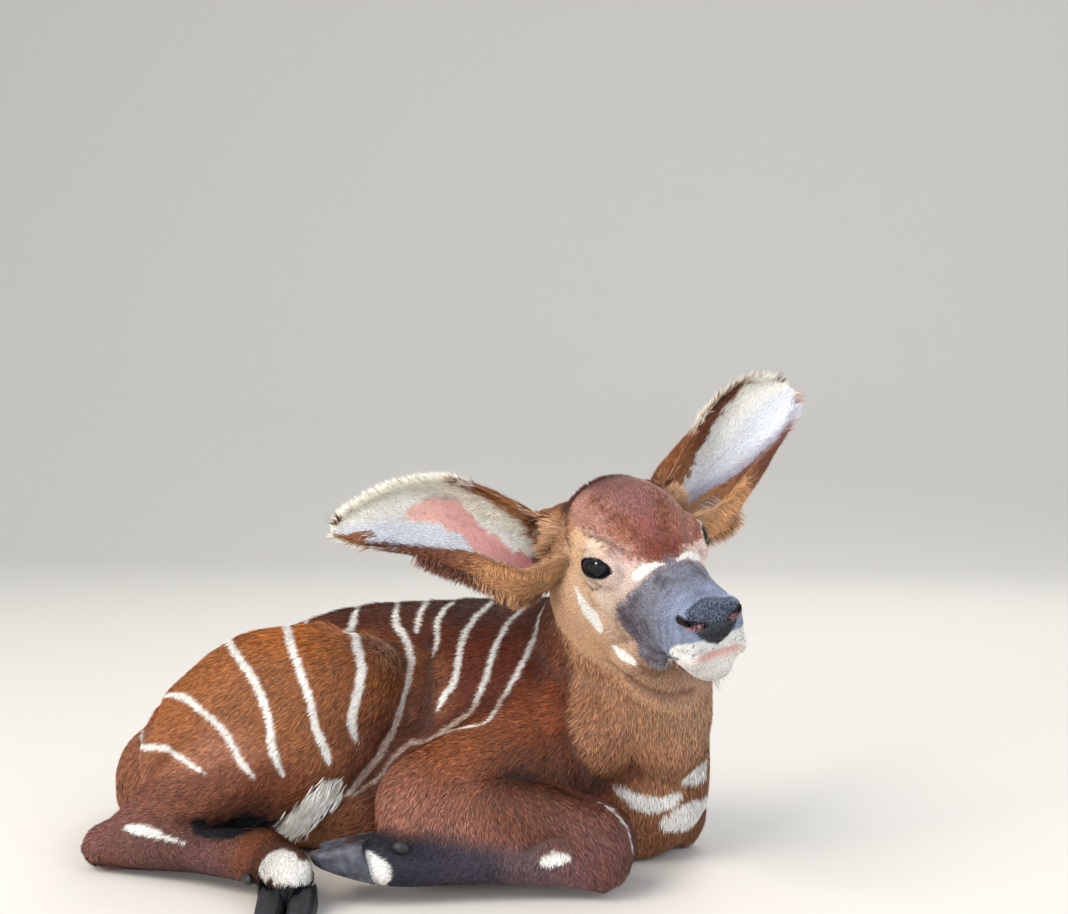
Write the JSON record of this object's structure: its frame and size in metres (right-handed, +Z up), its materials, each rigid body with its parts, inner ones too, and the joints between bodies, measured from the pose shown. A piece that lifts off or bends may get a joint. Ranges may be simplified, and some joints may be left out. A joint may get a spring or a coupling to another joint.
{
  "type": "bongo antelope calf",
  "caption": "Life-size still model of a bongo antelope calf lying with its legs folded and its head turned to one side.",
  "frame": {"origin": "on the ground, under the middle of the calf's box", "axes": "+X from the rump towards the chest, +Y to the animal's left, +Z up from the ground"},
  "size_m": [0.6056, 0.4663, 0.3953],
  "materials": {
    "coat": "short chestnut fur, darker along the back, with thin white stripes",
    "head_coat": "short tan fur with a slate muzzle, white cheek marks and a moist dark nose",
    "leg_coat": "very short mauve-brown fur with white and black patches",
    "ear": "thin pink skin inside with white hairs, brown fur outside",
    "eye": "wet, near black",
    "horn": "smooth slate-grey hoof horn"
  },
  "bodies": {
    "root": {"belly": "coat", "chest": "coat", "ear_left": "ear", "ear_right": "ear", "eye_left": "eye", "eye_right": "eye", "fore_left_dewclaw_inner": "horn", "fore_left_dewclaw_outer": "horn", "fore_left_forearm": "leg_coat", "fore_left_hoof_inner": "horn", "fore_left_hoof_outer": "horn", "fore_left_metacarpus": "leg_coat", "fore_left_pastern": "leg_coat", "fore_left_upper_arm": "leg_coat", "fore_right_dewclaw_inner": "horn", "fore_right_dewclaw_outer": "horn", "fore_right_forearm": "leg_coat", "fore_right_hoof_inner": "horn", "fore_right_hoof_outer": "horn", "fore_right_metacarpus": "leg_coat", "fore_right_pastern": "leg_coat", "fore_right_upper_arm": "leg_coat", "head": "head_coat", "hind_left_dewclaw_inner": "horn", "hind_left_dewclaw_outer": "horn", "hind_left_hoof_inner": "horn", "hind_left_hoof_outer": "horn", "hind_left_metatarsus": "leg_coat", "hind_left_pastern": "leg_coat", "hind_left_shank": "leg_coat", "hind_left_thigh": "leg_coat", "hind_right_dewclaw_inner": "horn", "hind_right_dewclaw_outer": "horn", "hind_right_hoof_inner": "horn", "hind_right_hoof_outer": "horn", "hind_right_metatarsus": "leg_coat", "hind_right_pastern": "leg_coat", "hind_right_shank": "leg_coat", "hind_right_thigh": "leg_coat", "neck": "coat", "rump": "coat", "tail": "coat"}
  },
  "joints": []
}
